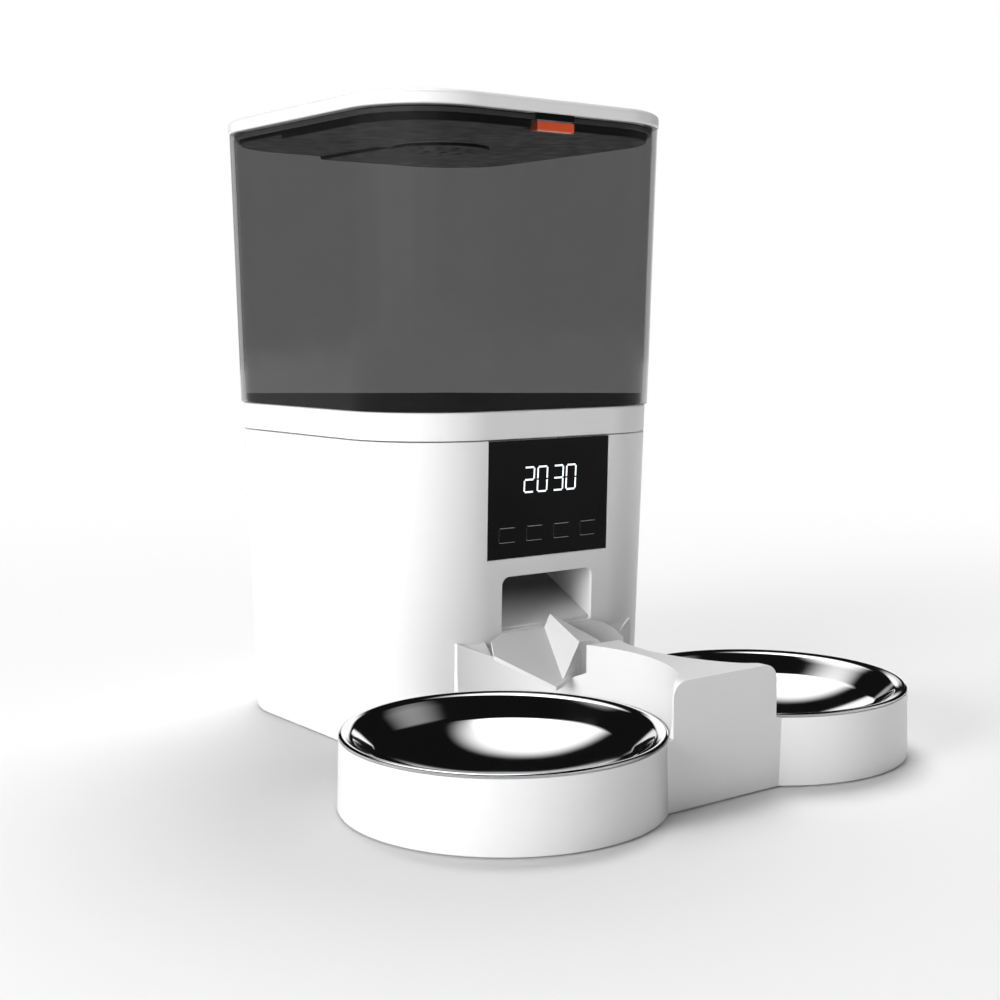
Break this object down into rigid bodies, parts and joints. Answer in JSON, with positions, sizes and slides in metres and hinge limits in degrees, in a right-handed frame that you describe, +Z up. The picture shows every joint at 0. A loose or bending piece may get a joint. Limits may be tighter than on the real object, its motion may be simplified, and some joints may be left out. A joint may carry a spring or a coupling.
{
  "type": "automatic pet feeder",
  "caption": "Automatic pet feeder: smoked hopper on a timed dispensing base, with a splitter that shares each portion between steel bowls in a stand.",
  "frame": {"origin": "under the middle of the whole feeder, on the surface it stands on", "axes": "+Z up, -Y out of the front where the bowls stand, +X to the right of a viewer facing the front"},
  "size_m": [0.3274, 0.3554, 0.34],
  "materials": {
    "white_abs": "moulded, semi-gloss white",
    "grey_abs": "moulded, matt grey",
    "black_abs": "moulded, satin black",
    "black_gloss": "polished black",
    "smoked_clear": "transparent, smoked",
    "orange_abs": "moulded, orange",
    "polished_stainless": "mirror-polished stainless steel",
    "plated_steel": "zinc-plated",
    "brass": "turned",
    "nylon": "moulded, natural",
    "black_rubber": "moulded",
    "grey_silicone": "moulded",
    "circuit_board": "solder mask",
    "battery_sleeve": "printed metal sleeve, plain"
  },
  "bodies": {
    "base": {"body_shell": "white_abs", "base_plate": "white_abs", "base_foot_1": "black_rubber", "base_foot_2": "black_rubber", "base_foot_3": "black_rubber", "base_foot_4": "black_rubber", "case_screw_1": "plated_steel", "case_screw_2": "plated_steel", "case_screw_3": "plated_steel", "case_screw_4": "plated_steel", "battery_box": "grey_abs", "battery_1": "battery_sleeve", "battery_2": "battery_sleeve", "battery_3": "battery_sleeve", "battery_spring_1": "plated_steel", "battery_spring_2": "plated_steel", "battery_spring_3": "plated_steel", "collar": "white_abs", "mid_deck": "grey_abs", "metering_plate": "grey_abs", "rotor_housing": "grey_abs", "rotor_bush": "brass", "motor_bracket": "grey_abs", "gear_motor": "plated_steel", "chute_duct": "white_abs", "display_window": "black_gloss", "led_module": "black_abs", "control_board": "circuit_board", "dc_jack": "black_abs"},
    "rotor": {"rotor": "grey_silicone", "rotor_shaft": "plated_steel", "agitator": "grey_silicone", "drive_gear": "nylon"},
    "pinion": {"motor_pinion": "nylon"},
    "key_1": {"key_1": "black_gloss"},
    "key_2": {"key_2": "black_gloss"},
    "key_3": {"key_3": "black_gloss"},
    "key_4": {"key_4": "black_gloss"},
    "battery_door": {"battery_door": "white_abs"},
    "hopper": {"hopper": "smoked_clear", "hopper_funnel": "black_abs"},
    "lid": {"lid_cover": "white_abs", "lid_plug": "black_abs", "lid_gasket": "grey_silicone", "desiccant_cup": "white_abs"},
    "latch": {"lid_latch": "orange_abs"},
    "desiccant_cover": {"desiccant_cover": "black_abs"},
    "stand": {"bowl_stand": "white_abs", "stand_pad_left_1": "black_rubber", "stand_pad_left_2": "black_rubber", "stand_pad_left_3": "black_rubber", "stand_pad_right_1": "black_rubber", "stand_pad_right_2": "black_rubber", "stand_pad_right_3": "black_rubber"},
    "splitter": {"splitter": "white_abs"},
    "bowl_left": {"bowl_left": "polished_stainless"},
    "bowl_right": {"bowl_right": "polished_stainless"}
  },
  "joints": [
    {"name": "hopper_lift", "type": "slide", "parent": "base", "child": "hopper", "axis": [0, 0, 1], "range_m": [0, 0.16]},
    {"name": "lid_lift", "type": "slide", "parent": "hopper", "child": "lid", "axis": [0, 0, 1], "range_m": [0, 0.08]},
    {"name": "latch_press", "type": "slide", "parent": "lid", "child": "latch", "axis": [0, 1, 0], "range_m": [0, 0.003], "stiffness_N_per_m": 500},
    {"name": "desiccant_cover_twist", "type": "hinge", "parent": "lid", "child": "desiccant_cover", "pos_m": [0, 0.0723, 0.3237], "axis": [0, 0, 1], "range_deg": [0, 30]},
    {"name": "rotor_spin", "type": "hinge", "parent": "base", "child": "rotor", "pos_m": [0, 0.0783, 0.13], "axis": [0, 0, 1], "continuous": true},
    {"name": "pinion_spin", "type": "hinge", "parent": "base", "child": "pinion", "pos_m": [0, 0.1023, 0.107], "axis": [0, 0, 1], "continuous": true},
    {"name": "key_1_press", "type": "slide", "parent": "base", "child": "key_1", "axis": [0, 0.9997, 0.023], "range_m": [0, 0.0008], "stiffness_N_per_m": 600},
    {"name": "key_2_press", "type": "slide", "parent": "base", "child": "key_2", "axis": [0, 0.9997, 0.023], "range_m": [0, 0.0008], "stiffness_N_per_m": 600},
    {"name": "key_3_press", "type": "slide", "parent": "base", "child": "key_3", "axis": [0, 0.9997, 0.023], "range_m": [0, 0.0008], "stiffness_N_per_m": 600},
    {"name": "key_4_press", "type": "slide", "parent": "base", "child": "key_4", "axis": [0, 0.9997, 0.023], "range_m": [0, 0.0008], "stiffness_N_per_m": 600},
    {"name": "battery_door_slide", "type": "slide", "parent": "base", "child": "battery_door", "axis": [0, 1, 0], "range_m": [0, 0.0055]},
    {"name": "stand_slide", "type": "slide", "parent": "base", "child": "stand", "axis": [0, -1, 0], "range_m": [0, 0.15]},
    {"name": "splitter_lift", "type": "slide", "parent": "stand", "child": "splitter", "axis": [0, -0.04, 0.9992], "range_m": [0, 0.05]},
    {"name": "bowl_left_tip", "type": "hinge", "parent": "stand", "child": "bowl_left", "pos_m": [-0.0388, -0.03893, 0.0353], "axis": [-0.7915, 0.6112, 0], "range_deg": [0, 18]},
    {"name": "bowl_right_tip", "type": "hinge", "parent": "stand", "child": "bowl_right", "pos_m": [0.0388, -0.03893, 0.0353], "axis": [-0.7915, -0.6112, 0], "range_deg": [0, 18]}
  ],
  "couplings": [
    {"joint": "pinion_spin", "follows": "rotor_spin", "ratio": -3}
  ]
}
